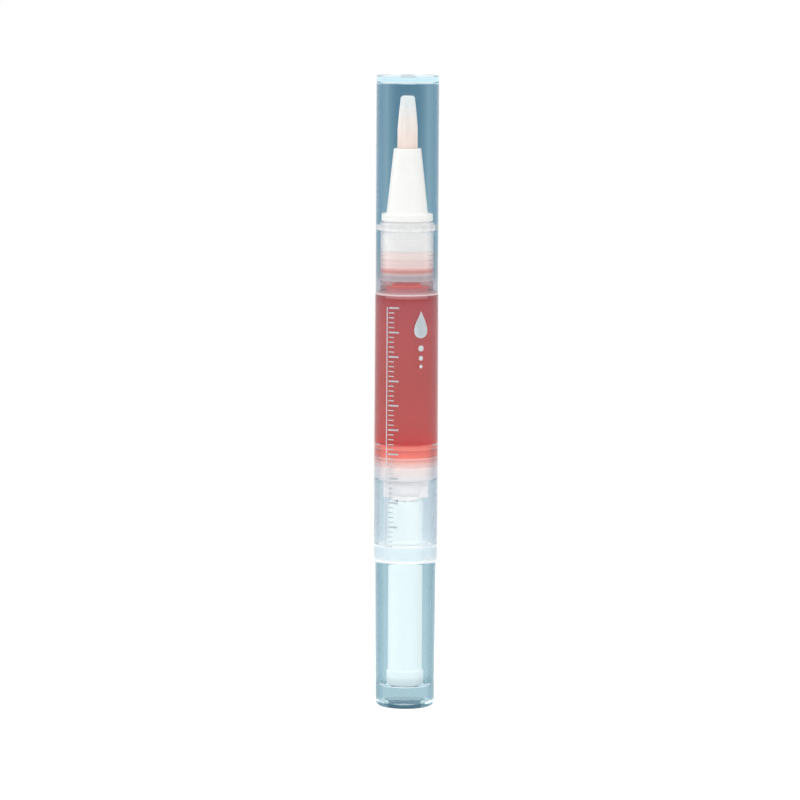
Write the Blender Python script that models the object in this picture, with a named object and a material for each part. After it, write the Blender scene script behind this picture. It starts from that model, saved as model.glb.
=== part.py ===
"""Twist-up oil pen: clear cap, brush, frosted barrel with oil and piston, screw feed and clear knob.

Lengths are in metres. The pen stands on its knob on the Z axis, with +Z towards the cap.
"""

import math
import random

import bmesh
import bpy
from mathutils import Vector
from mathutils.geometry import delaunay_2d_cdt

MM = 0.001
FULL_TURN = 2 * math.pi

# Clearances
seat_gap = 0.2 * MM
fit_gap = 0.1 * MM
run_gap = 0.12 * MM
thread_gap = 0.15 * MM
cut_overrun = 1.0 * MM
join_depth = 0.4 * MM

# Edge breaks
edge_round = 0.15 * MM

# Knob
knob_height = 30.1 * MM
knob_step = 0.325 * MM
knob_taper = 0.225 * MM
knob_wall = 0.85 * MM
knob_foot_inset = 1.55 * MM
knob_foot_round = 1.15 * MM
knob_floor = 4.3 * MM
knob_bowl_height = 3.0 * MM
knob_bowl_width = 1.1 * MM
knob_recess_radius = 3.4 * MM
knob_recess_depth = 1.7 * MM
post_flats = 4.6 * MM
post_height = 3.0 * MM

# Barrel
barrel_bore_radius = 5.6 * MM
barrel_wall_bottom = 1.0 * MM
barrel_wall_top = 0.875 * MM
barrel_length = 55.2 * MM
shoulder_thickness = 0.9 * MM

# Neck
neck_step = 0.95 * MM
neck_wall = 0.8 * MM
neck_length = 14.6 * MM
neck_bead = 0.1 * MM
neck_bead_length = 1.8 * MM
neck_ledge_width = 1.6 * MM
neck_ledge_height = 1.5 * MM

# Inner plug
plug_rise = 1.1 * MM
plug_skirt_height = 1.8 * MM
plug_skirt_wall = 0.7 * MM
plug_web_height = 4.3 * MM
plug_groove_depth = 0.2 * MM
plug_groove_width = 0.3 * MM
plug_groove_count = 3
plug_rib_width = 0.7 * MM

# Feed tube
tube_radius = 0.8 * MM
tube_wall = 0.3 * MM
tube_recess = 0.5 * MM

# Ferrule
ferrule_flange_step = 0.2 * MM
ferrule_flange_height = 1.5 * MM
ferrule_cone_step = 1.025 * MM
ferrule_cone_top_radius = 2.8 * MM
ferrule_cone_height = 13.3 * MM
ferrule_spigot_wall = 0.9 * MM
ferrule_hollow_top_radius = 1.7 * MM
ferrule_tube_grip = 4.0 * MM
tuft_socket_depth = 3.1 * MM

# Brush tuft
tuft_radius = 2.1 * MM
tuft_hole_radius = 0.4 * MM
tuft_backing_height = 1.0 * MM
bristle_length = 12.7 * MM
bristle_radius = 0.07 * MM
bristle_margin = 0.05 * MM
bristle_tip_spread = 0.35 * MM
bristle_count = 306
bristle_belly_share = 1.03
bristle_belly_height_share = 0.5
bristle_tip_share = 0.66
bristle_tip_width_share = 0.55

# Cap
cap_wall = 0.7 * MM
cap_end_wall = 1.3 * MM
cap_tip_space = 2.8 * MM
cap_boss_radius = 1.65 * MM
cap_boss_height = 0.45 * MM
cap_rim_lead = 0.25 * MM
cap_snap_rib = 0.05 * MM
cap_snap_rib_width = 0.4 * MM
cap_gate_radius = 1.5 * MM
cap_gate_depth = 0.3 * MM

# Piston
piston_height = 7.3 * MM
piston_skirt_height = 2.9 * MM
piston_waist_depth = 0.2 * MM
piston_waist_height = 1.4 * MM
piston_lip_height = 0.5 * MM
piston_groove_depth = 0.6 * MM
piston_groove_height = 1.5 * MM
piston_lip_slope = 0.15 * MM
piston_dish_depth = 0.3 * MM
piston_dish_wall = 0.9 * MM

# Screw rod
thread_lead = 2.0 * MM
thread_crest_radius = 2.1 * MM
thread_root_radius = 1.6 * MM
thread_crest_width = 0.5 * MM
thread_flank_width = 0.35 * MM
thread_end_margin = 0.02 * MM
rod_half_flat = 1.35 * MM
rod_tail_space = 0.7 * MM
rod_neck_radius = 1.2 * MM
rod_neck_length = 1.9 * MM
rod_head_radius = 1.75 * MM
rod_head_height = 1.4 * MM
rod_head_slope = 0.5 * MM

# Guide nut
guide_ring_height = 3.45 * MM
guide_snap = 0.15 * MM
guide_snap_width = 0.8 * MM
guide_snap_height = 1.4 * MM
guide_height = 16.6 * MM
nut_radius = 4.6 * MM
nut_height = 3.0 * MM
nut_round = 0.8 * MM
guide_rib_width = 1.3 * MM
guide_rib_drop = 1.0 * MM
guide_rib_count = 4

# Ratchet
ratchet_outer_radius = 3.3 * MM
ratchet_inner_radius = 2.5 * MM
ratchet_base = 0.45 * MM
tooth_height = 0.25 * MM
tooth_land = 0.05 * MM
tooth_count = 12
tooth_rise_share = 0.1
tooth_middle_share = 0.55
lug_count = 3
lug_length = 0.9 * MM
lug_width = 0.8 * MM
lug_depth = 0.5 * MM

# Drive sleeve
sleeve_radius = 3.525 * MM
sleeve_bore_radius = 2.6 * MM
sleeve_foot_radius = 3.8 * MM
sleeve_foot_height = 3.0 * MM
sleeve_foot_slope = 0.3 * MM
sleeve_key_length = 4.6 * MM
sleeve_bead = 0.3 * MM
sleeve_bead_height = 0.7 * MM

# Steps round a turned piece, and round an arc of its profile
outer_steps = 40
inner_steps = 32
tube_steps = 12
thread_steps = 16
arc_steps = 3

# Heights of the stack, from the surface that the pen stands on
post_top = knob_floor + post_height
barrel_bottom = knob_height + seat_gap
shoulder = barrel_bottom + barrel_length
neck_top = shoulder + neck_length
chamber_roof = shoulder - shoulder_thickness
neck_ledge = shoulder + neck_ledge_height
nut_top = barrel_bottom + guide_height
nut_bottom = nut_top - nut_height
piston_bottom = nut_top + seat_gap
piston_top = piston_bottom + piston_height
rod_tail = post_top + rod_tail_space
sleeve_bottom = knob_floor + seat_gap
ratchet_top = nut_bottom - seat_gap
ratchet_bottom = ratchet_top - ratchet_base - tooth_land - tooth_height
sleeve_top = ratchet_bottom - fit_gap
sleeve_tooth_root = sleeve_top - tooth_height - tooth_land
plug_bottom = neck_ledge + plug_rise
plug_web_bottom = plug_bottom + plug_skirt_height
plug_top = plug_web_bottom + plug_web_height
ferrule_bottom = plug_top + seat_gap
flange_bottom = neck_top + seat_gap
flange_top = flange_bottom + ferrule_flange_height
ferrule_top = flange_top + ferrule_cone_height
tuft_socket_bottom = ferrule_top - tuft_socket_depth
tuft_bottom = tuft_socket_bottom + seat_gap
tuft_backing_top = tuft_bottom + tuft_backing_height
tuft_tip = tuft_backing_top + bristle_length
tube_bottom = plug_web_bottom + tube_recess
tube_top = tuft_bottom - seat_gap
cap_bottom = shoulder + seat_gap
cap_inner_end = tuft_tip + cap_tip_space
cap_top = cap_inner_end + cap_end_wall

# Radii that follow their neighbours
barrel_bottom_radius = barrel_bore_radius + barrel_wall_bottom
knob_top_radius = barrel_bottom_radius - knob_step
knob_bottom_radius = knob_top_radius - knob_taper
neck_bore_radius = barrel_bore_radius - neck_step
neck_opening_radius = neck_bore_radius - neck_ledge_width
neck_radius = neck_bore_radius + neck_wall
neck_bead_radius = neck_radius + neck_bead
cap_bore_radius = neck_bead_radius + cap_snap_rib + fit_gap
cap_radius = cap_bore_radius + cap_wall
piston_lip_radius = barrel_bore_radius - fit_gap
guide_ring_radius = barrel_bore_radius - fit_gap
guide_snap_radius = barrel_bore_radius + guide_snap
snap_groove_radius = guide_snap_radius + fit_gap
sleeve_bead_radius = sleeve_radius + sleeve_bead
guide_hole_radius = sleeve_radius + run_gap
guide_rib_inner = sleeve_bead_radius + seat_gap
plug_radius = neck_bore_radius - fit_gap
ferrule_flange_radius = neck_radius - ferrule_flange_step
ferrule_cone_bottom_radius = ferrule_flange_radius - ferrule_cone_step
tube_hole_radius = tube_radius + fit_gap
tuft_socket_radius = tuft_radius + fit_gap


def clear_scene():
    for old in list(bpy.data.objects):
        bpy.data.objects.remove(old, do_unlink=True)


def linear(hex_colour):
    """The linear colour of an sRGB one such as 9fbfcc."""
    channels = [int(hex_colour[i:i + 2], 16) / 255 for i in (0, 2, 4)]
    return [c / 12.92 if c <= 0.04045 else ((c + 0.055) / 1.055) ** 2.4 for c in channels] + [1]


def plastic(name, hex_colour, roughness, transmission=0.0, metallic=0.0):
    material = bpy.data.materials.new(name)
    material.use_nodes = True
    shader = material.node_tree.nodes["Principled BSDF"]
    shader.inputs["Base Color"].default_value = linear(hex_colour)
    shader.inputs["Roughness"].default_value = roughness
    shader.inputs["Metallic"].default_value = metallic
    shader.inputs["Transmission Weight"].default_value = transmission
    material.diffuse_color = linear(hex_colour)
    return material


def even_angles(steps):
    return [FULL_TURN * i / steps for i in range(steps)]


def arc(centre, radii, start, end, steps=arc_steps):
    """Profile points along part of an ellipse, from one angle to another in degrees."""
    angles = [math.radians(start + (end - start) * i / steps) for i in range(steps + 1)]
    return [(centre[0] + radii[0] * math.cos(a), centre[1] + radii[1] * math.sin(a)) for a in angles]


def bridge(bm, lower, upper):
    """Faces between two rings, either of which may be a single point on the axis."""
    count = max(len(lower), len(upper))
    for i in range(count):
        j = (i + 1) % count
        if len(lower) == 1:
            bm.faces.new((lower[0], upper[j], upper[i]))
        elif len(upper) == 1:
            bm.faces.new((lower[i], lower[j], upper[0]))
        else:
            bm.faces.new((lower[i], lower[j], upper[j], upper[i]))


def turn_rings(bm, profile, angles, lift=None):
    """Rings of points for a profile. A lift gives a profile point's extra height at an angle."""
    rings = []
    for radius, height in profile:
        if radius == 0:
            rings.append([bm.verts.new((0, 0, height))])
            continue
        ring = []
        for angle in angles:
            rise = lift((radius, height), angle) if lift else 0
            ring.append(bm.verts.new((radius * math.cos(angle), radius * math.sin(angle), height + rise)))
        rings.append(ring)
    return rings


def turned(profile, steps=outer_steps, angles=None, lift=None):
    """A closed shape turned from (radius, height) points.

    A profile that starts on the axis ends there too, and any other closes on itself.
    """
    bm = bmesh.new()
    rings = turn_rings(bm, profile, angles or even_angles(steps), lift)
    for lower, upper in zip(rings, rings[1:]):
        bridge(bm, lower, upper)
    if profile[0][0] > 0:
        bridge(bm, rings[-1], rings[0])
    return bm


def block(bm, low, high, angle=0.0):
    """A box given by its corners, turned about the Z axis."""
    made = bmesh.ops.create_cube(bm, size=1)
    cos, sin = math.cos(angle), math.sin(angle)
    for vert in made["verts"]:
        x, y, z = (a + (b - a) * (c + 0.5) for a, b, c in zip(low, high, vert.co))
        vert.co = (x * cos - y * sin, x * sin + y * cos, z)


def prism(outline, bottom, top):
    """A closed shape with one outline all the way up."""
    bm = bmesh.new()
    lower = [bm.verts.new((x, y, bottom)) for x, y in outline]
    upper = [bm.verts.new((x, y, top)) for x, y in outline]
    bm.faces.new(lower)
    bm.faces.new(upper)
    bridge(bm, lower, upper)
    return bm


def hexagon(across_flats):
    radius = across_flats / 2 / math.cos(math.pi / 6)
    return [(radius * math.cos(a), radius * math.sin(a)) for a in even_angles(6)]


def add_object(name, bm, base=0.0, parent=None, parent_height=0.0):
    """An object whose own origin is on the pen's axis at the height of its base."""
    bmesh.ops.recalc_face_normals(bm, faces=bm.faces)
    bmesh.ops.translate(bm, verts=bm.verts, vec=(0, 0, -base))
    mesh = bpy.data.meshes.new(name)
    bm.to_mesh(mesh)
    bm.free()
    mesh.shade_smooth()
    mesh.set_sharp_from_angle(angle=math.radians(30))
    obj = bpy.data.objects.new(name, mesh)
    bpy.context.scene.collection.objects.link(obj)
    obj.parent = parent
    obj.location.z = base - parent_height
    return obj


def add_piece(name, bm, material, base, joint):
    """A named piece on the empty of the body that it moves with."""
    obj = add_object(name, bm, base, joint, joint.location.z)
    obj.data.materials.append(material)
    return obj


def combine(piece, name, bm, operation, base):
    """Adds or cuts another shape, which stays as a hidden object."""
    tool = add_object(name, bm, base, piece, base)
    tool.hide_render = True
    tool.display_type = "WIRE"
    modifier = piece.modifiers.new(name, "BOOLEAN")
    modifier.operation = operation
    modifier.solver = "EXACT"
    modifier.object = tool


def add_joint_empty(name, height):
    empty = bpy.data.objects.new(name, None)
    bpy.context.scene.collection.objects.link(empty)
    empty.location.z = height
    return empty


def thread_radius(height, angle, crest, root, crest_width):
    """The thread's radius at one place, on a right-hand helix that climbs one lead a turn."""
    along = (height / thread_lead - angle / FULL_TURN) % 1 * thread_lead
    from_crest = min(along, thread_lead - along)
    depth = (from_crest - crest_width / 2) / thread_flank_width
    return crest + (root - crest) * min(max(depth, 0), 1)


def thread_point(radius, angle, height, half_flat):
    x, y = radius * math.cos(angle), radius * math.sin(angle)
    if half_flat:
        y = min(max(y, -half_flat), half_flat)
    return (x, y, height)


def zip_columns(bm, left, right):
    """Faces between two columns of numbered points, matched by their numbers."""
    i = j = 0
    while i < len(left) - 1 or j < len(right) - 1:
        next_left = left[i + 1][0] if i < len(left) - 1 else math.inf
        next_right = right[j + 1][0] if j < len(right) - 1 else math.inf
        if i < len(left) - 1 and j < len(right) - 1 and next_left == next_right:
            bm.faces.new((left[i][1], right[j][1], right[j + 1][1], left[i + 1][1]))
            i += 1
            j += 1
        elif next_right < next_left:
            bm.faces.new((left[i][1], right[j][1], right[j + 1][1]))
            j += 1
        else:
            bm.faces.new((left[i][1], right[j][1], left[i + 1][1]))
            i += 1


def threaded_side(bm, crest, root, crest_width, bottom, top, half_flat=None):
    """The side of a threaded bar between two heights. Returns its bottom and top rings."""
    root_width = thread_lead - crest_width - 2 * thread_flank_width
    breaks = [crest_width / 2]
    for width in (thread_flank_width, root_width, thread_flank_width):
        breaks.append(breaks[-1] + width)
    radii = [crest, root, root, crest]
    columns = []
    for angle in even_angles(thread_steps):
        ends = []
        for height in (bottom, top):
            radius = thread_radius(height, angle, crest, root, crest_width)
            ends.append(bm.verts.new(thread_point(radius, angle, height, half_flat)))
        column = [(-math.inf, ends[0])]
        first = math.floor(bottom / thread_lead) - 2
        last = math.ceil(top / thread_lead) + 1
        for turn in range(first, last):
            for number, (rise, radius) in enumerate(zip(breaks, radii)):
                height = thread_lead * (turn + angle / FULL_TURN) + rise
                if bottom + thread_end_margin < height < top - thread_end_margin:
                    vert = bm.verts.new(thread_point(radius, angle, height, half_flat))
                    column.append((4 * turn + number, vert))
        column.append((math.inf, ends[1]))
        columns.append(column)
    for left, right in zip(columns, columns[1:]):
        zip_columns(bm, left, right)
    wrapped = [(number - 4, vert) for number, vert in columns[0]]
    zip_columns(bm, columns[-1], wrapped)
    return [c[0][1] for c in columns], [c[-1][1] for c in columns]


def saw_tooth(angle):
    """Height of the ratchet's saw teeth at an angle, from 0 at a tooth's foot to 1 at its tip."""
    along = angle / FULL_TURN * tooth_count % 1
    if along < tooth_rise_share:
        return along / tooth_rise_share
    return (1 - along) / (1 - tooth_rise_share)


def tooth_angles():
    pitch = FULL_TURN / tooth_count
    shares = (0, tooth_rise_share, tooth_middle_share)
    return [pitch * (number + share) for number in range(tooth_count) for share in shares]


def make_knob(material, joint):
    foot_radius = knob_bottom_radius - knob_foot_inset
    floor_radius = knob_bottom_radius - knob_wall - knob_bowl_width
    foot = arc((foot_radius, knob_foot_round), (knob_foot_inset, knob_foot_round), -90, 0)
    bowl_centre = (floor_radius, knob_floor + knob_bowl_height)
    bowl = arc(bowl_centre, (knob_bowl_width, knob_bowl_height), 0, -90)
    profile = [(0, knob_recess_depth), (knob_recess_radius, knob_recess_depth), (knob_recess_radius, 0)]
    profile += foot
    profile += [
        (knob_top_radius, knob_height - edge_round),
        (knob_top_radius - edge_round, knob_height),
        (knob_top_radius - knob_wall, knob_height),
    ]
    profile += bowl
    profile.append((0, knob_floor))
    knob = add_piece("knob", turned(profile), material, 0, joint)
    post = prism(hexagon(post_flats), knob_floor - join_depth, post_top)
    combine(knob, "knob_post", post, "UNION", 0)


def make_drive_sleeve(material, joint):
    foot_top = sleeve_bottom + sleeve_foot_height
    bead_bottom = barrel_bottom + guide_ring_height + seat_gap
    bead_top = bead_bottom + sleeve_bead_height
    tooth_inner = ratchet_inner_radius + fit_gap
    outside = [
        (0, sleeve_bottom),
        (sleeve_foot_radius, sleeve_bottom),
        (sleeve_foot_radius, foot_top),
        (sleeve_radius, foot_top + sleeve_foot_slope),
        (sleeve_radius, bead_bottom),
        (sleeve_bead_radius, bead_bottom),
        (sleeve_bead_radius, bead_bottom + sleeve_bead),
        (sleeve_radius, bead_top),
        (sleeve_radius, sleeve_tooth_root - edge_round),
    ]
    crown = [
        (ratchet_outer_radius, sleeve_tooth_root + tooth_land),
        (tooth_inner, sleeve_tooth_root + tooth_land),
    ]
    inside = [(tooth_inner, sleeve_tooth_root), (0, sleeve_tooth_root)]
    profile = outside + crown + inside

    def lift(point, angle):
        return tooth_height * saw_tooth(angle) if point in crown else 0

    body = turned(profile, angles=tooth_angles(), lift=lift)
    sleeve = add_piece("drive_sleeve", body, material, sleeve_bottom, joint)
    socket = prism(hexagon(post_flats + 2 * fit_gap), sleeve_bottom - cut_overrun, post_top + fit_gap)
    combine(sleeve, "post_socket", socket, "DIFFERENCE", sleeve_bottom)
    key_bottom = sleeve_top - sleeve_key_length
    bore_bottom = post_top - join_depth
    bore_profile = [
        (0, bore_bottom), (sleeve_bore_radius, bore_bottom), (sleeve_bore_radius, key_bottom), (0, key_bottom)
    ]
    bore = turned(bore_profile, steps=inner_steps)
    combine(sleeve, "sleeve_bore", bore, "DIFFERENCE", sleeve_bottom)
    key_radius = thread_crest_radius + run_gap
    key_flat = rod_half_flat + run_gap
    outline = [thread_point(key_radius, angle, 0, key_flat)[:2] for angle in even_angles(inner_steps)]
    key = prism(outline, key_bottom - join_depth, sleeve_top + cut_overrun)
    combine(sleeve, "key_bore", key, "DIFFERENCE", sleeve_bottom)


def make_ratchet_ring(material, joint):
    tooth_plane = ratchet_top - ratchet_base
    crown = [
        (ratchet_inner_radius + fit_gap, tooth_plane - tooth_land),
        (ratchet_outer_radius, tooth_plane - tooth_land),
    ]
    profile = crown + [
        (ratchet_outer_radius, ratchet_top),
        (ratchet_inner_radius, ratchet_top),
        (ratchet_inner_radius, tooth_plane),
        (ratchet_inner_radius + fit_gap, tooth_plane),
    ]

    def lift(point, angle):
        return -tooth_height * saw_tooth(angle) if point in crown else 0

    body = turned(profile, angles=tooth_angles(), lift=lift)
    ring = add_piece("ratchet_ring", body, material, ratchet_bottom, joint)
    lugs = lug_blocks(ratchet_top - ratchet_base / 2, 0)
    combine(ring, "ratchet_lugs", lugs, "UNION", ratchet_bottom)


def lug_blocks(bottom, clearance):
    """The ratchet ring's lugs, or with a clearance the pockets that they stand in."""
    bm = bmesh.new()
    inner = ratchet_inner_radius + (ratchet_outer_radius - ratchet_inner_radius - lug_depth) / 2
    for number in range(lug_count):
        low = (inner - clearance, -lug_width / 2 - clearance, bottom)
        high = (inner + lug_depth + clearance, lug_width / 2 + clearance, ratchet_top + lug_length + clearance)
        block(bm, low, high, FULL_TURN * (number + 0.5) / lug_count)
    return bm


def make_guide_nut(material, joint):
    ring_top = barrel_bottom + guide_ring_height
    snap_middle = barrel_bottom + guide_snap_height
    snap_side = guide_snap_width / 2
    profile = [
        (guide_hole_radius, barrel_bottom),
        (guide_ring_radius, barrel_bottom),
        (guide_ring_radius, snap_middle - snap_side),
        (guide_snap_radius, snap_middle - snap_side / 2),
        (guide_snap_radius, snap_middle + snap_side / 2),
        (guide_ring_radius, snap_middle + snap_side),
        (guide_ring_radius, ring_top),
        (guide_hole_radius, ring_top),
    ]
    nut = add_piece("guide_nut", turned(profile), material, barrel_bottom, joint)

    round_centre = (nut_radius - nut_round, nut_bottom + nut_round)
    head = [(0, nut_bottom)]
    head += arc(round_centre, (nut_round, nut_round), -90, 0)
    head += [(nut_radius, nut_top), (0, nut_top)]
    combine(nut, "nut_head", turned(head, steps=inner_steps), "UNION", barrel_bottom)

    ribs = bmesh.new()
    for number in range(guide_rib_count):
        low = (guide_rib_inner, -guide_rib_width / 2, ring_top - join_depth)
        high = (guide_ring_radius - fit_gap, guide_rib_width / 2, nut_top - guide_rib_drop)
        block(ribs, low, high, FULL_TURN * (number + 0.5) / guide_rib_count)
    combine(nut, "guide_ribs", ribs, "UNION", barrel_bottom)

    cutter = bmesh.new()
    crest = thread_crest_radius + thread_gap
    root = thread_root_radius + thread_gap
    crest_width = thread_crest_width + 2 * thread_gap
    bottom, top = threaded_side(
        cutter, crest, root, crest_width, nut_bottom - cut_overrun, nut_top + cut_overrun
    )
    cutter.faces.new(bottom)
    cutter.faces.new(top)
    combine(nut, "nut_thread", cutter, "DIFFERENCE", barrel_bottom)
    pockets = lug_blocks(nut_bottom - cut_overrun, fit_gap)
    combine(nut, "lug_pockets", pockets, "DIFFERENCE", barrel_bottom)


def make_screw_rod(material, joint):
    bm = bmesh.new()
    thread_top = piston_bottom - seat_gap
    bottom, top = threaded_side(
        bm, thread_crest_radius, thread_root_radius, thread_crest_width, rod_tail, thread_top, rod_half_flat
    )
    bm.faces.new(bottom)
    neck_top_height = thread_top + rod_neck_length
    head_top = neck_top_height + rod_head_height
    head = [
        (rod_neck_radius, thread_top),
        (rod_neck_radius, neck_top_height),
        (rod_head_radius, neck_top_height),
        (rod_head_radius, head_top - rod_head_slope),
        (rod_head_radius - rod_head_slope, head_top),
        (0, head_top),
    ]
    rings = turn_rings(bm, head, even_angles(thread_steps))
    for lower, upper in zip([top] + rings, rings):
        bridge(bm, lower, upper)
    add_piece("screw_rod", bm, material, rod_tail, joint)


def make_piston(material, joint):
    waist_radius = piston_lip_radius - piston_waist_depth
    groove_radius = piston_lip_radius - piston_groove_depth
    mouth_radius = rod_neck_radius + seat_gap
    socket_radius = rod_head_radius + seat_gap
    socket_bottom = piston_bottom - seat_gap + rod_neck_length - seat_gap
    socket_top = socket_bottom + rod_head_height + 2 * seat_gap
    skirt_top = piston_bottom + piston_skirt_height
    waist_top = skirt_top + piston_waist_height
    lip_top = waist_top + piston_lip_height
    groove_top = lip_top + piston_groove_height
    profile = [
        (0, socket_top),
        (socket_radius, socket_top),
        (socket_radius, socket_bottom),
        (mouth_radius, socket_bottom),
        (mouth_radius, piston_bottom),
        (piston_lip_radius - piston_lip_slope, piston_bottom),
        (piston_lip_radius, piston_bottom + piston_lip_slope),
        (piston_lip_radius, skirt_top - piston_lip_slope),
        (waist_radius, skirt_top),
        (waist_radius, waist_top),
        (piston_lip_radius, waist_top + piston_lip_slope),
        (piston_lip_radius, lip_top),
        (groove_radius, lip_top + piston_lip_slope),
        (groove_radius, groove_top),
        (piston_lip_radius, groove_top + piston_lip_slope),
        (piston_lip_radius, piston_top - piston_lip_slope),
        (piston_lip_radius - piston_lip_slope, piston_top),
        (piston_lip_radius - piston_dish_wall, piston_top),
        (piston_lip_radius - piston_dish_wall - piston_dish_depth, piston_top - piston_dish_depth),
        (0, piston_top - piston_dish_depth),
    ]
    add_piece("piston", turned(profile), material, piston_bottom, joint)


def make_barrel(material, joint):
    top_radius = barrel_bore_radius + barrel_wall_top
    bead_bottom = neck_top - neck_bead_length
    groove_middle = barrel_bottom + guide_snap_height
    groove_side = guide_snap_width / 2 + fit_gap
    groove_slope = snap_groove_radius - barrel_bore_radius
    profile = [
        (barrel_bore_radius, barrel_bottom),
        (barrel_bottom_radius - edge_round, barrel_bottom),
        (barrel_bottom_radius, barrel_bottom + edge_round),
        (top_radius, shoulder - edge_round),
        (top_radius - edge_round, shoulder),
        (neck_radius, shoulder),
        (neck_radius, bead_bottom - neck_bead),
        (neck_bead_radius, bead_bottom),
        (neck_bead_radius, neck_top - edge_round),
        (neck_bead_radius - edge_round, neck_top),
        (neck_bore_radius, neck_top),
        (neck_bore_radius, neck_ledge),
        (neck_opening_radius, neck_ledge),
        (neck_opening_radius, chamber_roof),
        (barrel_bore_radius, chamber_roof),
        (barrel_bore_radius, groove_middle + groove_side + groove_slope),
        (snap_groove_radius, groove_middle + groove_side),
        (snap_groove_radius, groove_middle - groove_side),
        (barrel_bore_radius, groove_middle - groove_side - groove_slope),
    ]
    add_piece("barrel", turned(profile), material, barrel_bottom, joint)


def make_oil(material, joint):
    charge_radius = barrel_bore_radius - fit_gap
    bottom, top = piston_top + seat_gap, chamber_roof - seat_gap
    charge = turned([(0, bottom), (charge_radius, bottom), (charge_radius, top), (0, top)])
    add_piece("oil_charge", charge, material, bottom, joint)
    fill_radius = neck_opening_radius - fit_gap
    bottom, top = chamber_roof, neck_ledge
    fill = turned([(0, bottom), (fill_radius, bottom), (fill_radius, top), (0, top)], steps=inner_steps)
    add_piece("oil_neck_fill", fill, material, bottom, joint)


def make_inner_plug(material, joint):
    groove_radius = plug_radius - plug_groove_depth
    skirt_inner = plug_radius - plug_skirt_wall
    profile = [
        (skirt_inner, plug_web_bottom),
        (skirt_inner, plug_bottom),
        (groove_radius, plug_bottom),
        (groove_radius, plug_web_bottom - plug_groove_depth),
        (plug_radius, plug_web_bottom),
    ]
    rib_top = plug_top
    ribs = []
    for _ in range(plug_groove_count):
        ribs += [(plug_radius, rib_top), (plug_radius, rib_top - plug_rib_width)]
        groove_bottom = rib_top - plug_rib_width - plug_groove_width
        ribs += [(groove_radius, rib_top - plug_rib_width), (groove_radius, groove_bottom)]
        rib_top = groove_bottom
    ribs += [(plug_radius, rib_top)]
    profile += reversed(ribs)
    profile += [(tube_hole_radius, plug_top), (tube_hole_radius, plug_web_bottom)]
    add_piece("inner_plug", turned(profile, steps=inner_steps), material, plug_bottom, joint)


def make_feed_tube(material, joint):
    inner = tube_radius - tube_wall
    profile = [(inner, tube_bottom), (tube_radius, tube_bottom), (tube_radius, tube_top), (inner, tube_top)]
    add_piece("feed_tube", turned(profile, steps=tube_steps), material, tube_bottom, joint)


def make_brush_ferrule(material, joint):
    spigot_inner = plug_radius - ferrule_spigot_wall
    hollow_top = tuft_socket_bottom - ferrule_tube_grip
    profile = [
        (spigot_inner, ferrule_bottom),
        (plug_radius - edge_round, ferrule_bottom),
        (plug_radius, ferrule_bottom + edge_round),
        (plug_radius, flange_bottom),
        (ferrule_flange_radius, flange_bottom),
        (ferrule_flange_radius, flange_top - edge_round),
        (ferrule_flange_radius - edge_round, flange_top),
        (ferrule_cone_bottom_radius, flange_top),
        (ferrule_cone_top_radius, ferrule_top - edge_round),
        (ferrule_cone_top_radius - edge_round, ferrule_top),
        (tuft_socket_radius, ferrule_top),
        (tuft_socket_radius, tuft_socket_bottom),
        (tube_hole_radius, tuft_socket_bottom),
        (tube_hole_radius, hollow_top),
        (ferrule_hollow_top_radius, hollow_top),
        (spigot_inner, flange_bottom),
    ]
    add_piece("brush_ferrule", turned(profile, steps=inner_steps), material, ferrule_bottom, joint)


def loop_points(radius, steps, centre=(0, 0), start=0.0):
    angles = [start + angle for angle in even_angles(steps)]
    return [Vector((centre[0] + radius * math.cos(a), centre[1] + radius * math.sin(a))) for a in angles]


def plate(bm, loops, height):
    """A flat sheet inside the first loop and open inside the others. Returns the points of each loop."""
    points = [point for loop in loops for point in loop]
    owner = [number for number, loop in enumerate(loops) for _ in loop]
    edges = []
    start = 0
    for loop in loops:
        count = len(loop)
        edges += [(start + i, start + (i + 1) % count) for i in range(count)]
        start += count
    _, _, faces, originals, _, _ = delaunay_2d_cdt([p / tuft_radius for p in points], edges, [], 0, 0.0)
    verts = [bm.verts.new((point.x, point.y, height)) for point in points]
    for face in faces:
        corners = [originals[i][0] for i in face]
        owners = {owner[corner] for corner in corners}
        if len(owners) > 1 or owners == {0}:
            bm.faces.new([verts[corner] for corner in corners])
    made = iter(verts)
    return [[next(made) for _ in loop] for loop in loops]


def strand_centres():
    """Places of the strands on the backing, spread evenly on a sunflower spiral."""
    inner = tuft_hole_radius + bristle_radius + bristle_margin
    outer = tuft_radius - bristle_radius - bristle_margin
    golden_angle = math.pi * (3 - math.sqrt(5))
    centres = []
    for number in range(bristle_count):
        share = (number + 0.5) / bristle_count
        radius = math.sqrt(inner ** 2 + (outer ** 2 - inner ** 2) * share)
        angle = number * golden_angle
        centres.append(Vector((radius * math.cos(angle), radius * math.sin(angle))))
    return centres


def make_brush_bristles(material, joint):
    """Three-sided strands that grow out of one slice of backing. All keep the same order about the axis."""
    draw = random.Random(5)
    bm = bmesh.new()
    rims = [loop_points(tuft_radius, inner_steps), loop_points(tuft_hole_radius, tube_steps)]
    centres = strand_centres()
    feet = [loop_points(bristle_radius, 3, centre, draw.uniform(0, FULL_TURN)) for centre in centres]
    lower = plate(bm, rims, tuft_bottom)
    upper = plate(bm, rims + feet, tuft_backing_top)
    bridge(bm, lower[0], upper[0])
    bridge(bm, lower[1], upper[1])
    belly_height = tuft_backing_top + bristle_length * bristle_belly_height_share
    for centre, foot, ring in zip(centres, feet, upper[2:]):
        tip_height = tuft_tip - draw.uniform(0, bristle_tip_spread)
        stages = [
            (belly_height, bristle_belly_share, bristle_belly_share),
            (tip_height, bristle_tip_share, bristle_tip_width_share),
        ]
        below = ring
        for height, place_share, width_share in stages:
            points = [centre * place_share + (corner - centre) * width_share for corner in foot]
            above = [bm.verts.new((point.x, point.y, height)) for point in points]
            bridge(bm, below, above)
            below = above
        bm.faces.new(below)
    add_piece("brush_bristles", bm, material, tuft_bottom, joint)


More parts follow.
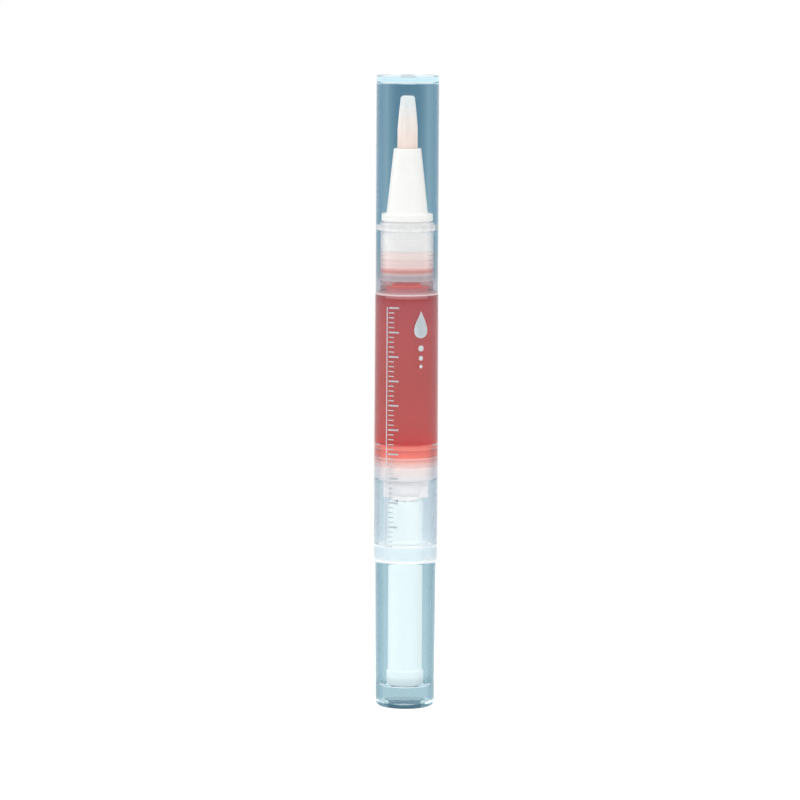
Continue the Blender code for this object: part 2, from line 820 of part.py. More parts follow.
def make_cap(material, joint):
    rib_top = neck_top - neck_bead_length - neck_bead - fit_gap
    rib_bottom = rib_top - cap_snap_rib_width
    profile = [
        (0, cap_top - cap_gate_depth),
        (cap_gate_radius - cap_gate_depth, cap_top - cap_gate_depth),
        (cap_gate_radius, cap_top),
        (cap_radius - 2 * edge_round, cap_top),
        (cap_radius, cap_top - 2 * edge_round),
        (cap_radius, cap_bottom + edge_round),
        (cap_radius - edge_round, cap_bottom),
        (cap_bore_radius + cap_rim_lead, cap_bottom),
        (cap_bore_radius, cap_bottom + cap_rim_lead),
        (cap_bore_radius, rib_bottom),
        (cap_bore_radius - cap_snap_rib, rib_bottom + cap_snap_rib),
        (cap_bore_radius - cap_snap_rib, rib_top - cap_snap_rib),
        (cap_bore_radius, rib_top),
        (cap_bore_radius, cap_inner_end - edge_round),
        (cap_bore_radius - edge_round, cap_inner_end),
        (cap_boss_radius, cap_inner_end),
        (cap_boss_radius, cap_inner_end - cap_boss_height),
        (0, cap_inner_end - cap_boss_height),
    ]
    add_piece("cap", turned(profile), material, cap_bottom, joint)


def main():
    clear_scene()
    body = add_joint_empty("barrel_frame", barrel_bottom)
    cap_slide = add_joint_empty("cap_slide", cap_bottom)
    knob_turn = add_joint_empty("knob_turn", 0)
    rod_slide = add_joint_empty("rod_slide", rod_tail)
    rod_slide.parent = knob_turn
    piston_slide = add_joint_empty("piston_slide", piston_bottom)

    make_cap(plastic("cap_clear", "8fb4c4", 0.06, 0.9), cap_slide)
    make_brush_bristles(plastic("bristle_nylon", "f5e6df", 0.5), body)
    make_brush_ferrule(plastic("ferrule_white", "f7f7f5", 0.35), body)
    make_feed_tube(plastic("tube_natural", "e6e6e2", 0.4), body)
    make_inner_plug(plastic("plug_frosted", "e8e4e4", 0.45, 0.5), body)
    make_barrel(plastic("barrel_frosted", "cfe0e8", 0.3, 0.8), body)
    make_oil(plastic("oil_red", "b84c4a", 0.1, 0.6), body)
    make_piston(plastic("piston_natural", "f1e2de", 0.4), piston_slide)
    make_guide_nut(plastic("guide_natural", "dfeaf0", 0.4, 0.3), body)
    make_ratchet_ring(plastic("ratchet_white", "dde6ea", 0.4), body)
    make_screw_rod(plastic("rod_white", "eef4f6", 0.35), rod_slide)
    make_drive_sleeve(plastic("sleeve_white", "e8fafe", 0.35), knob_turn)
    make_knob(plastic("knob_clear", "9fbfcc", 0.06, 0.9), knob_turn)


main()
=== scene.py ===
"""Looks of the twist-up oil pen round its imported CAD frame: clear cap and knob, frosted barrel, red oil, brush.

Heights and radii are in millimetres from the floor and from the pen's axis, and MM makes metres of them.
"""

import math
import random
from functools import cached_property

import bmesh
import bpy
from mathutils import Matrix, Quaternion, Vector


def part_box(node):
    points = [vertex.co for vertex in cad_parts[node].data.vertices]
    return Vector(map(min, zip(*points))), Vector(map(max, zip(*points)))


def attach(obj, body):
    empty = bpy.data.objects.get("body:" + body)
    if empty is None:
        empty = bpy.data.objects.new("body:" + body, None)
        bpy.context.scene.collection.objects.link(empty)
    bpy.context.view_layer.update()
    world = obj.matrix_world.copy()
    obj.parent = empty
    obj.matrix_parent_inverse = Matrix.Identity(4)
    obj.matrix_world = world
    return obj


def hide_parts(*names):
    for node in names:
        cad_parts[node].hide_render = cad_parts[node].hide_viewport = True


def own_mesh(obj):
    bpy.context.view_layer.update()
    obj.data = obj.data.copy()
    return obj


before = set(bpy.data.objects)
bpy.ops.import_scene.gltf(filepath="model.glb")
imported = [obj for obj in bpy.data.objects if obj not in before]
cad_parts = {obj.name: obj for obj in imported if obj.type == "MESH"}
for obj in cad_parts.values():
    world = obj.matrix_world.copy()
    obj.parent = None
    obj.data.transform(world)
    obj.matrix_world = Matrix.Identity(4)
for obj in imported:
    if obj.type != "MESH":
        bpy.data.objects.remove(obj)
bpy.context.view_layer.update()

MM = 0.001
FULL_TURN = 2 * math.pi


# Sizes read from the frame


def radius_of(node):
    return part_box(node)[1].y / MM


def low_of(node):
    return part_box(node)[0].z / MM


def high_of(node):
    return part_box(node)[1].z / MM


CAP_RADIUS, CAP_HIGH = radius_of("cap"), high_of("cap")
BARREL_RADIUS, BARREL_LOW, BARREL_HIGH = radius_of("barrel"), low_of("barrel"), high_of("barrel")
KNOB_RADIUS, KNOB_HIGH = radius_of("knob"), high_of("knob")
FERRULE_RADIUS, FERRULE_HIGH = radius_of("brush_ferrule"), high_of("brush_ferrule")
PLUG_LOW, PLUG_HIGH = low_of("inner_plug"), high_of("inner_plug")
PISTON_RADIUS, PISTON_LOW, PISTON_HIGH = radius_of("piston"), low_of("piston"), high_of("piston")
OIL_LOW = low_of("oil_charge")
FILL_HIGH = high_of("oil_neck_fill")
TUFT_RADIUS, TUFT_LOW, TUFT_HIGH = radius_of("brush_bristles"), low_of("brush_bristles"), high_of("brush_bristles")
NUT_HIGH = high_of("guide_nut")

# Sizes that the frame's boxes don't give, as in the part's source
CAP_BORE = 5.7
CAP_INNER_END = 128.7
CAP_BOSS_RADIUS, CAP_BOSS_HEIGHT = 1.65, 0.45
CAP_RIB_LOW, CAP_RIB_HIGH, CAP_RIB_DEPTH = 97.7, 98.1, 0.05
GATE_RADIUS, GATE_DEPTH = 1.5, 0.3
BARREL_BORE = 5.6
BARREL_TOP_RADIUS = 6.475
SHOULDER = 85.5
CHAMBER_ROOF = 84.6
NECK_RADIUS, NECK_BORE = 5.45, 4.65
NECK_LEDGE, NECK_OPENING = 87.0, 3.05
BEAD_LOW, BEAD_TOP_RADIUS = 98.15, 5.55
KNOB_BOTTOM_RADIUS, KNOB_WALL, KNOB_FLOOR = 6.05, 0.85, 4.3
RECESS_RADIUS, RECESS_HEIGHT = 3.4, 1.7
STAND_RADIUS, FOOT_HEIGHT = 4.5, 1.15
POST_HALF_WIDTH, POST_HIGH = 2.3, 7.3
FLANGE_LOW, FLANGE_HIGH = 100.3, 101.8
TUFT_SOCKET_RADIUS, TUFT_SOCKET_LOW = 2.2, 112.0
FEED_HOLE_RADIUS, FEED_HOLE_LOW = 0.9, 108.0
PLUG_CUP_RADIUS, PLUG_WEB = 3.85, 89.9
ROD_SOCKET_RADIUS, ROD_SOCKET_HIGH = 1.95, 50.6
ROD_MOUTH_RADIUS, ROD_MOUTH_HIGH = 1.4, 48.6
DISH_MOUTH_RADIUS, DISH_RADIUS, DISH_DEPTH = PISTON_RADIUS - 0.9, PISTON_RADIUS - 1.2, 0.3
NUT_HEAD, NUT_GAP = 3.0, 0.2

# How the pieces here are made
STEPS = 128  # round the axis
HOLD = 0.03  # straight beside a fillet
OVERLAP = 0.02  # reach into a neighbour
SHARP_ANGLE = 40  # degrees between faces from which their edge is sharp
CAD_SHARP_ANGLE = 34  # the same for pieces with the CAD's own facets
TUFT_SHARP_ANGLE = 60  # the same for the strands
NUT_RING_FROM = 5.45  # what lies further out on the guide nut is the outside of its ring

# How deep light may go inside clear plastic before it passes straight through
GLOSSY_DEPTH = 2.5
RAY_DEPTH = 9.5


# Mesh helpers


def rounded(points, steps=5):
    """A profile with its corners rounded. A point is (radius, height) or (radius, height, fillet).

    Short straights of up to HOLD beside each fillet keep the shading of the flats even.
    """
    out = []
    count = len(points)
    for number, point in enumerate(points):
        corner = Vector(point[:2])
        fillet = point[2] if len(point) > 2 else 0
        if not fillet:
            out.append(tuple(corner))
            continue
        before = Vector(points[number - 1][:2]) - corner
        after = Vector(points[(number + 1) % count][:2]) - corner
        half = before.angle(after) / 2
        reach = min(fillet / math.tan(half), before.length * 0.45, after.length * 0.45)
        fillet = reach * math.tan(half)
        hold = min(HOLD, reach * 0.5)
        before.normalize()
        after.normalize()
        centre = corner + (before + after).normalized() * (fillet / math.sin(half))
        start = corner + before * reach - centre
        end = corner + after * reach - centre
        sweep = math.atan2(start.x * end.y - start.y * end.x, start.dot(end))
        out.append(tuple(corner + before * (reach + hold)))
        for step in range(steps + 1):
            angle = sweep * step / steps
            cos, sin = math.cos(angle), math.sin(angle)
            out.append((centre.x + start.x * cos - start.y * sin, centre.y + start.x * sin + start.y * cos))
        out.append(tuple(corner + after * (reach + hold)))
    return out


def arc(centre, reach, start, end, steps):
    """Profile points on an ellipse. centre and reach are (radius, height), and the angles are in degrees."""
    angles = [math.radians(start + (end - start) * step / steps) for step in range(steps + 1)]
    return [(centre[0] + reach[0] * math.cos(angle), centre[1] + reach[1] * math.sin(angle)) for angle in angles]


def add_turned(bm, profile, steps):
    """Turn a profile into a closed solid. One that starts on the axis ends there too."""
    rings = []
    for radius, height in profile:
        if radius < 1e-6:
            rings.append([bm.verts.new((0, 0, height * MM))])
            continue
        rings.append([
            bm.verts.new((
                radius * MM * math.cos(FULL_TURN * step / steps),
                radius * MM * math.sin(FULL_TURN * step / steps),
                height * MM,
            ))
            for step in range(steps)
        ])
    if len(rings[0]) > 1:
        rings.append(rings[0])
    for lower, upper in zip(rings, rings[1:]):
        for step in range(steps):
            after = (step + 1) % steps
            if len(lower) == 1:
                bm.faces.new((lower[0], upper[after], upper[step]))
            elif len(upper) == 1:
                bm.faces.new((lower[step], lower[after], upper[0]))
            else:
                bm.faces.new((lower[step], lower[after], upper[after], upper[step]))


def lathe(profile, steps=STEPS):
    bm = bmesh.new()
    add_turned(bm, profile, steps)
    return bm


def shaded_object(name, bm, material, angle):
    """An object that shades smooth, with sharp edges where faces meet at more than that angle in degrees."""
    mesh = bpy.data.meshes.new(name)
    bm.to_mesh(mesh)
    bm.free()
    if "custom_normal" in mesh.attributes:
        mesh.attributes.remove(mesh.attributes["custom_normal"])
    mesh.shade_smooth()
    mesh.set_sharp_from_angle(angle=math.radians(angle))
    mesh.materials.append(material)
    thing = bpy.data.objects.new(name, mesh)
    bpy.context.scene.collection.objects.link(thing)
    return thing


def new_object(name, bm, material, angle=SHARP_ANGLE):
    bmesh.ops.recalc_face_normals(bm, faces=bm.faces)
    return shaded_object(name, bm, material, angle)


def place(thing, body, slot, *nodes):
    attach(thing, body)
    if nodes:
        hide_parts(*nodes)
    return thing


def turned_piece(name, profile, look, body, slot, *nodes):
    return place(new_object(name, lathe(profile), look), body, slot, *nodes)


def same_shape(node, name, look, body, slot, beyond=None, touch=None, raised=None):
    """A piece with a CAD node's own shape, welded so that its facets shade as the curves they stand for.

    What lies beyond a radius is brought to the radius touch, where its neighbour's wall is. raised is
    (height, rise): the faces at that height go up to their neighbour.
    """
    bm = bmesh.new()
    bm.from_mesh(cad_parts[node].data)
    bmesh.ops.remove_doubles(bm, verts=bm.verts, dist=MM * 0.001)
    for vert in bm.verts:
        radius = math.hypot(vert.co.x, vert.co.y)
        if beyond and radius > beyond * MM:
            vert.co.x *= touch * MM / radius
            vert.co.y *= touch * MM / radius
        if raised and abs(vert.co.z / MM - raised[0]) < HOLD:
            vert.co.z += raised[1] * MM
    place(shaded_object(name, bm, look, CAD_SHARP_ANGLE), body, slot, node)


# Material helpers


def linear(hex_colour):
    """The linear colour of an sRGB one such as 9fbfcc."""
    channels = [int(hex_colour[i:i + 2], 16) / 255 for i in (0, 2, 4)]
    return [c / 12.92 if c <= 0.04045 else ((c + 0.055) / 1.055) ** 2.4 for c in channels] + [1]


def passed(hex_colour):
    """The base colour with which one crossing of a clear surface passes this colour: the shader uses its root."""
    return [c * c for c in linear(hex_colour)[:3]] + [1]


class Nodes:
    """A material's node tree, with short calls for what the materials here share."""

    def __init__(self, name):
        self.material = bpy.data.materials.new(name)
        self.material.use_nodes = True
        self.tree = self.material.node_tree
        self.shader = self.tree.nodes["Principled BSDF"]
        self.output = self.tree.nodes["Material Output"]

    def add(self, kind, **settings):
        node = self.tree.nodes.new(kind)
        for key, value in settings.items():
            setattr(node, key, value)
        return node

    def link(self, source, target):
        self.tree.links.new(source, target)

    def feed(self, name, value):
        """Give a socket of the shader a number of its own, or another node's output."""
        socket = self.shader.inputs[name]
        if isinstance(value, bpy.types.NodeSocket):
            self.link(value, socket)
        else:
            socket.default_value = value

    def fed(self, name):
        """The output that a socket of the shader is linked to."""
        return self.shader.inputs[name].links[0].from_socket

    @cached_property
    def position(self):
        """Object coordinates in millimetres."""
        scale = self.add("ShaderNodeVectorMath", operation="SCALE")
        scale.inputs["Scale"].default_value = 1 / MM
        self.link(self.add("ShaderNodeTexCoord").outputs["Object"], scale.inputs[0])
        return scale.outputs[0]

    @cached_property
    def height(self):
        split = self.add("ShaderNodeSeparateXYZ")
        self.link(self.position, split.inputs[0])
        return split.outputs["Z"]

    @cached_property
    def radius(self):
        """Distance from the pen's axis."""
        flat = self.add("ShaderNodeVectorMath", operation="MULTIPLY")
        flat.inputs[1].default_value = (1, 1, 0)
        self.link(self.position, flat.inputs[0])
        length = self.add("ShaderNodeVectorMath", operation="LENGTH")
        self.link(flat.outputs[0], length.inputs[0])
        return length.outputs["Value"]

    @cached_property
    def facing(self):
        """0 where the surface is seen square on, towards 1 where it is seen edge on."""
        return self.add("ShaderNodeLayerWeight").outputs["Facing"]

    def math(self, operation, *values):
        node = self.add("ShaderNodeMath", operation=operation)
        for socket, value in zip(node.inputs, values):
            if isinstance(value, (int, float)):
                socket.default_value = value
            else:
                self.link(value, socket)
        return node.outputs[0]

    def above(self, value, limit):
        return self.math("GREATER_THAN", value, limit)

    def below(self, value, limit):
        return self.math("LESS_THAN", value, limit)

    def both(self, first, second):
        return self.math("MULTIPLY", first, second)

    def either(self, first, *others):
        for other in others:
            first = self.math("MAXIMUM", first, other)
        return first

    def noise(self, scale, detail=2.0, stretch=(1, 1, 1)):
        """Noise with that many features to the millimetre."""
        mapping = self.add("ShaderNodeMapping")
        mapping.inputs["Scale"].default_value = stretch
        self.link(self.position, mapping.inputs["Vector"])
        node = self.add("ShaderNodeTexNoise")
        node.inputs["Scale"].default_value = scale
        node.inputs["Detail"].default_value = detail
        self.link(mapping.outputs[0], node.inputs["Vector"])
        return node.outputs["Fac"]

    def ramp(self, value, stops, low=0.0, high=1.0, colours=linear):
        """A colour from a value between low and high. A stop is (value, colour as hex or grey)."""
        node = self.add("ShaderNodeValToRGB")
        elements = node.color_ramp.elements
        while len(elements) > 1:
            elements.remove(elements[-1])
        for number, (at, colour) in enumerate(stops):
            share = (at - low) / (high - low)
            element = elements[0] if number == 0 else elements.new(share)
            element.position = share
            element.color = colours(colour) if isinstance(colour, str) else (colour, colour, colour, 1)
        if (low, high) != (0.0, 1.0):
            span = self.add("ShaderNodeMapRange")
            span.inputs["From Min"].default_value = low
            span.inputs["From Max"].default_value = high
            self.link(value, span.inputs["Value"])
            value = span.outputs["Result"]
        self.link(value, node.inputs["Fac"])
        return node.outputs["Color"]

    def blend(self, share, first, second, mode="MIX"):
        """Two colours mixed by a share, which may be a number."""
        node = self.add("ShaderNodeMix", data_type="RGBA", blend_type=mode)
        sockets = [s for s in node.inputs if s.type == "RGBA"]
        for socket, value in ((node.inputs[0], share), (sockets[0], first), (sockets[1], second)):
            if isinstance(value, str):
                socket.default_value = linear(value)
            elif isinstance(value, (int, float)):
                socket.default_value = value
            else:
                self.link(value, socket)
        return next(s for s in node.outputs if s.type == "RGBA")

    def times(self, first, second):
        return self.blend(1.0, first, second, "MULTIPLY")

    def bump(self, value, distance):
        """Small relief, with its depth in millimetres."""
        node = self.add("ShaderNodeBump")
        node.inputs["Strength"].default_value = 0.3
        node.inputs["Distance"].default_value = distance * MM
        self.link(value, node.inputs["Height"])
        self.feed("Normal", node.outputs[0])

    def seen(self):
        """1 for what the camera sees, straight or in gloss or glass, and 0 for the light that falls on the object."""
        path = self.add("ShaderNodeLightPath")
        return self.either(*(path.outputs[f"Is {kind} Ray"] for kind in ("Camera", "Glossy", "Transmission")))

    def mix_shaders(self, share, first, second):
        mix = self.add("ShaderNodeMixShader")
        self.link(share, mix.inputs["Fac"])
        self.link(first.outputs[0], mix.inputs[1])
        self.link(second.outputs[0], mix.inputs[2])
        self.link(mix.outputs[0], self.output.inputs["Surface"])

    def lets_lamps_through(self, thrown=None):
        """Lamps and bounced light pass straight through the plastic or oil, so that what it holds is lit.

        So does light that has already been thrown about inside it, in the tint thrown. It would end as black.
        """
        path = self.add("ShaderNodeLightPath")
        lit = self.either(path.outputs["Is Shadow Ray"], path.outputs["Is Diffuse Ray"])
        deep = self.either(
            self.above(path.outputs["Glossy Depth"], GLOSSY_DEPTH), self.above(path.outputs["Ray Depth"], RAY_DEPTH)
        )
        window = self.add("ShaderNodeBsdfTransparent")
        if thrown is not None:
            self.link(self.blend(deep, "ffffff", thrown), window.inputs["Color"])
        self.mix_shaders(self.either(lit, deep), self.shader, window)


def plastic(name, shades, roughness=(0.3, 0.4), relief=0.004, subsurface=0.0):
    """Moulded plastic with soft mottling between two shades and faint relief."""
    speckle = 0.6
    nodes = Nodes(name)
    nodes.feed("Base Color", nodes.ramp(nodes.noise(speckle, 3.0), [(0.35, shades[0]), (0.65, shades[1])]))
    nodes.feed("Roughness", nodes.ramp(nodes.noise(speckle * 4), [(0.3, roughness[0]), (0.7, roughness[1])]))
    nodes.bump(nodes.noise(speckle * 8), relief)
    nodes.feed("Subsurface Weight", subsurface)
    nodes.feed("Subsurface Radius", (1, 1, 1))
    nodes.feed("Subsurface Scale", 0.4 * MM)
    return nodes


def tint_by_height(nodes, stops, low, high):
    """Multiply the plastic's colour by one that changes with height."""
    nodes.feed("Base Color", nodes.times(nodes.fed("Base Color"), nodes.ramp(nodes.height, stops, low, high)))


def clear_plastic(name, tints, low, high, wall, foot=-1.0, neck=None, ior=1.3, rim=None, rim_top=200.0, faces=None):
    """Clear plastic. Light that leaves it through its outside takes the tint of that height.

    The outside is what lies beyond the radius wall, under the height foot outside the knob's recess, or beyond the
    radius and above the height that neck gives. rim gives painted shade and painted light: a tint that changes from
    where the plastic is seen square on to where it is seen edge on, up to the height rim_top. faces gives the colour
    of the other sides.
    The default foot is under the pen and the default rim_top is over it.
    """
    nodes = Nodes(name)
    height, radius = nodes.height, nodes.radius
    under = nodes.both(nodes.below(height, foot), nodes.above(radius, RECESS_RADIUS + 0.2))
    outside = nodes.either(nodes.above(radius, wall), under)
    if neck:
        outside = nodes.either(outside, nodes.both(nodes.above(radius, neck[0]), nodes.above(height, neck[1])))
    from_within = nodes.add("ShaderNodeNewGeometry").outputs["Backfacing"]
    leaving = nodes.both(outside, nodes.either(from_within, under))
    tint = nodes.ramp(height, tints, low, high, passed)
    if rim:
        # Painted shade and painted light: the tint darkens or lightens with how square on the plastic is seen.
        painted_facing_shade = nodes.ramp(nodes.facing, rim, colours=passed)
        tint = nodes.blend(nodes.below(height, rim_top), tint, nodes.times(tint, painted_facing_shade))
    face = nodes.ramp(height, faces, low, high) if faces else "ffffff"
    nodes.feed("Base Color", nodes.blend(leaving, face, tint))
    nodes.feed("Roughness", nodes.ramp(nodes.noise(1.5, 3.0), [(0.35, 0.015), (0.7, 0.05)]))
    nodes.feed("Transmission Weight", 1.0)
    nodes.feed("IOR", ior)
    return nodes


# Materials


def make_cap_look():
    nodes = clear_plastic(
        "cap_clear_look",
        [
            # Painted light: from 85.5 to about 88.4 the tint is pink with the oil's red light.
            (85.5, "b8a0a4"), (85.8, "b8a6aa"), (86.1, "c4babd"), (86.5, "cac3c6"), (87.4, "c6bec2"),
            (88.4, "b9b2b8"), (89.2, "9ea4aa"), (90.7, "95a4ac"), (92.3, "94a7ae"), (93.9, "8aa5ae"),
            (95.0, "80a3b1"), (100.0, "7fa5b6"), (120.0, "7aa0b2"), (128.0, "7aa0b2"), (128.5, "cdeffa"),
            (130.0, "dcf8ff"),
        ],
        85.0, 131.0, wall=6.05, rim_top=128.3,
        # Painted shade where the back wall is seen square on around the brush, painted lighter bands beside it, and
        # darker edges.
        rim=[
            (0.0, "b4cad6"), (0.04, "bacfda"), (0.09, "dbe6ec"), (0.14, "ffffff"), (0.24, "e0ecf4"),
            (0.5, "e0ecf4"), (0.66, "c8d4dc"),
        ],
        # Painted light: the rim's bottom face is pink with the oil's red light.
        faces=[(85.5, "c8b0b4"), (85.75, "c8b0b4"), (86.0, "ffffff")],
    )
    in_end_wall = nodes.above(nodes.height, CAP_INNER_END - 0.5)
    nodes.lets_lamps_through(nodes.blend(in_end_wall, "7fa5b6", "dcf2f8"))
    gate_face = nodes.above(nodes.height, CAP_HIGH - GATE_DEPTH - 0.1)
    gate = nodes.both(nodes.below(nodes.radius, GATE_RADIUS + 0.05), gate_face)
    nodes.feed("Base Color", nodes.blend(gate, nodes.fed("Base Color"), "7c878c"))
    clear = nodes.ramp(gate, [(0.0, 1.0), (1.0, 0.45)])
    # Less clear at the rim's bottom, so that its painted pink shows.
    lower = nodes.ramp(nodes.height, [(85.7, 0.5), (85.95, 1.0)], 85.0, 87.0)
    nodes.feed("Transmission Weight", nodes.math("MINIMUM", clear, lower))
    return nodes.material


def make_knob_look():
    nodes = clear_plastic(
        "knob_clear_look",
        # Painted light: the tint is lighter at the foot, up to about 1.35, which lifts the shade seen through it.
        [(0.0, "d2e8ee"), (0.7, "cae0e7"), (1.1, "a8c6cf"), (1.35, "9bb9c3"), (30.0, "99b7c2")],
        0.0, 31.0, wall=5.75, foot=FOOT_HEIGHT, ior=1.25,
        # rim is painted shade, darker towards where the plastic is seen edge on.
        rim=[(0.16, "ffffff"), (0.23, "e6edf0"), (0.3, "cddbe0"), (0.36, "c6d3d9")],
    )
    nodes.lets_lamps_through("cce2ea")
    # Painted shade: the recess under the foot is tinted darker.
    recess = nodes.both(
        nodes.below(nodes.radius, RECESS_RADIUS + 0.1), nodes.below(nodes.height, RECESS_HEIGHT + 0.3)
    )
    nodes.feed("Base Color", nodes.times(nodes.fed("Base Color"), nodes.blend(recess, "ffffff", "9cb2bd")))
    worn = nodes.ramp(nodes.height, [(1.0, 0.1), (1.5, 0.0)], 0.0, 2.0)
    nodes.feed("Roughness", nodes.math("ADD", nodes.fed("Roughness"), worn))
    return nodes.material


def make_sleeve_look():
    nodes = plastic("sleeve_white_look", ("e3f5f8", "e6f6fa"), (0.35, 0.42), relief=0.0008)
    # Painted shade: darker towards its foot, where it stands in the knob's floor.
    tint_by_height(nodes, [(4.3, "d8dcde"), (5.6, "e2e6e8"), (6.4, "f8fafa"), (7.6, "ffffff")], 4.0, 8.0)
    return nodes.material


def make_guide_look():
    """Natural plastic: clear in the thin ribs and milky in the ring and the head."""
    nodes = plastic("guide_natural_look", ("fcfdfe", "ffffff"), relief=0.0015)
    tint_by_height(
        nodes,
        [(33.2, "e6f2f7"), (33.3, "f4fafc"), (33.6, "f4fafc"), (33.8, "ffffff"), (43.7, "ffffff"), (43.9, "e9eaee")],
        30.0, 48.0,
    )
    clear = nodes.ramp(
        nodes.height,
        [(33.2, 0.7), (33.35, 0.3), (33.6, 0.3), (33.8, 1.0), (43.7, 1.0), (43.9, 0.05), (47.0, 0.0)],
        30.0, 48.0,
    )
    nodes.feed("Transmission Weight", clear)
    nodes.feed("IOR", 1.02)
    nodes.lets_lamps_through()
    return nodes.material


def make_ratchet_look():
    nodes = plastic("ratchet_white_look", ("edf1f2", "f7f9f9"), (0.35, 0.45))
    nodes.lets_lamps_through()
    return nodes.material


def make_barrel_look():
    """Clear in the chamber's wall, milky at the bead, frosted in the neck, with painted oil light, shoulder highlight
    and edge shade.
    """
    nodes = clear_plastic(
        "barrel_frosted_look",
        [
            # Painted light: from 84.0 up into the neck the tint is red and pink with the oil's light.
            (30.2, "dfeaf0"), (31.0, "c8dde8"), (36.0, "b4cdd9"), (47.0, "b0cad7"), (52.0, "c8d2d9"),
            (54.4, "d8dade"), (58.0, "e2e8ec"), (83.4, "e2e8ec"), (84.0, "b8646a"), (85.2, "a04850"),
            (85.45, "c07078"), (86.2, "dca4a6"), (86.6, "f4aca9"), (87.2, "ffb2ad"), (87.8, "f0c4c2"),
            (88.3, "e0c8ca"), (89.4, "d8d0d4"), (91.0, "ecdcdc"), (94.0, "dcd8dc"), (97.5, "dfe3e6"),
        ],
        # rim paints shade towards where the wall is seen edge on.
        30.0, 101.0, wall=6.1, neck=(5.2, 85.6), ior=1.4, rim=[(0.12, "ffffff"), (0.25, "d0d6da")],
        faces=[
            # Painted highlight: a pale pink line at the shoulder's edge, from 85.36 to 85.55.
            (54.0, "ffffff"), (85.2, "ffffff"), (85.36, "fbe2e0"), (85.55, "fbe2e0"), (85.7, "ffffff"),
            (94.0, "ffffff"), (94.6, "f8f8f8"), (98.0, "f6f6f7"), (98.5, "ffffff"), (99.2, "f2f2f3"),
        ],
    )
    nodes.lets_lamps_through("c8d8e2")
    # Painted shade: the frosted neck darkens towards where it is seen edge on, with a painted lighter band between.
    edges = nodes.ramp(
        nodes.facing,
        [(0.0, "ececed"), (0.2, "efeff0"), (0.3, "fafafb"), (0.43, "ecedf0"), (0.56, "dcdee4"), (0.75, "c8ccd6")],
    )
    frosted = nodes.ramp(nodes.height, [(87.8, 0.0), (88.8, 1.0)], 85.0, 90.0)
    # Painted shade: beside the piston the wall darkens where it is seen edge on.
    sides = nodes.ramp(nodes.facing, [(0.2, "ffffff"), (0.45, "d8e2ea")], colours=passed)
    round_piston = nodes.ramp(nodes.height, [(46.5, 0.0), (48.0, 1.0), (54.0, 1.0), (55.0, 0.0)], 45.0, 60.0)
    colour = nodes.fed("Base Color")
    for share, tint in ((frosted, edges), (round_piston, sides)):
        colour = nodes.blend(share, colour, nodes.times(colour, tint))
    nodes.feed("Base Color", colour)
    clear = nodes.ramp(
        nodes.height,
        [
            # Less clear at 85.36 to 85.52, so that the painted highlight line at the shoulder shows.
            (30.3, 0.2), (30.7, 0.3), (30.9, 0.9), (34.0, 0.9), (36.0, 0.93), (54.0, 0.95), (54.6, 0.985),
            (85.3, 0.985), (85.36, 0.15), (85.52, 0.15), (85.6, 0.93), (86.4, 0.955), (87.8, 0.955),
            (88.6, 0.92), (94.0, 0.88), (95.0, 0.74), (98.0, 0.7), (98.3, 0.35), (98.9, 0.35), (99.1, 0.45),
            (100.1, 0.45),
        ],
        30.0, 101.0,
    )
    nodes.feed("Transmission Weight", clear)
    finish = nodes.ramp(nodes.noise(3.0), [(0.3, 0.07), (0.7, 0.11)])
    rougher = nodes.ramp(nodes.height, [(85.5, 0.0), (86.0, 0.07)], 85.0, 87.0)
    nodes.feed("Roughness", nodes.math("ADD", finish, rougher))
    return nodes.material


def make_oil_look(name, stops, low, high, clear=0.7, ior=1.42):
    """Red oil that passes and scatters about the same colour, so that it looks even across its width."""
    nodes = Nodes(name)
    swirl = nodes.noise(0.12, 3.0, stretch=(1, 1, 0.5))
    colour = nodes.ramp(nodes.height, stops, low, high)
    nodes.feed("Base Color", nodes.times(colour, nodes.ramp(swirl, [(0.3, 0.96), (0.7, 1.0)])))
    nodes.feed("Transmission Weight", clear)
    nodes.feed("IOR", ior)
    nodes.feed("Roughness", nodes.ramp(nodes.noise(1.0), [(0.3, 0.02), (0.7, 0.06)]))
    nodes.lets_lamps_through("c05058")
    return nodes.material


def make_piston_look():
    nodes = plastic("piston_natural_look", ("ece2e0", "f6eeec"), (0.35, 0.45), subsurface=0.2)
    tint = nodes.ramp(
        nodes.height,
        [
            (47.0, "e4e4e8"), (49.4, "ecdedd"), (50.0, "f1dad8"), (50.8, "f4cec8"), (51.6, "f4aea4"),
            (52.2, "f48c7c"), (54.0, "f07466"), (54.5, "d84c42"),
        ],
        47.0, 55.0,
    )
    nodes.feed("Base Color", tint)
    return nodes.material


def make_plug_look():
    nodes = plastic("plug_frosted_look", ("eadbd9", "f3e6e4"), (0.35, 0.5), subsurface=0.3)
    tint = nodes.ramp(
        nodes.height,
        [
            (88.1, "bfa6ab"), (88.5, "b3a2aa"), (89.0, "b09ea6"), (89.3, "c0b0b6"), (89.55, "d2b8b8"),
            (89.75, "d49a96"), (90.05, "cf827c"), (90.3, "dc908a"), (90.7, "eabcb6"), (91.0, "f2d4d0"),
            (91.9, "f0d6d4"), (92.5, "f1d9d3"), (92.9, "f6e0da"), (93.5, "fbe6e3"), (93.95, "f0dedd"),
            (94.3, "f2e4e4"),
        ],
        87.0, 95.0,
    )
    nodes.feed("Base Color", tint)
    return nodes.material


def make_tuft_look():
    nodes = Nodes("bristle_nylon_look")
    shade = nodes.ramp(
        nodes.height,
        [(112.0, "ffebe1"), (117.0, "fff3ec"), (121.0, "fffaf7"), (124.0, "fbffff"), (126.0, "f8ffff")],
        112.0, 126.0,
    )
    strands = nodes.noise(5.0, stretch=(1, 1, 0.03))
    nodes.feed("Base Color", nodes.times(shade, nodes.ramp(strands, [(0.35, 0.95), (0.6, 1.0)])))
    nodes.feed("Roughness", nodes.ramp(strands, [(0.3, 0.3), (0.7, 0.5)]))
    return nodes.material


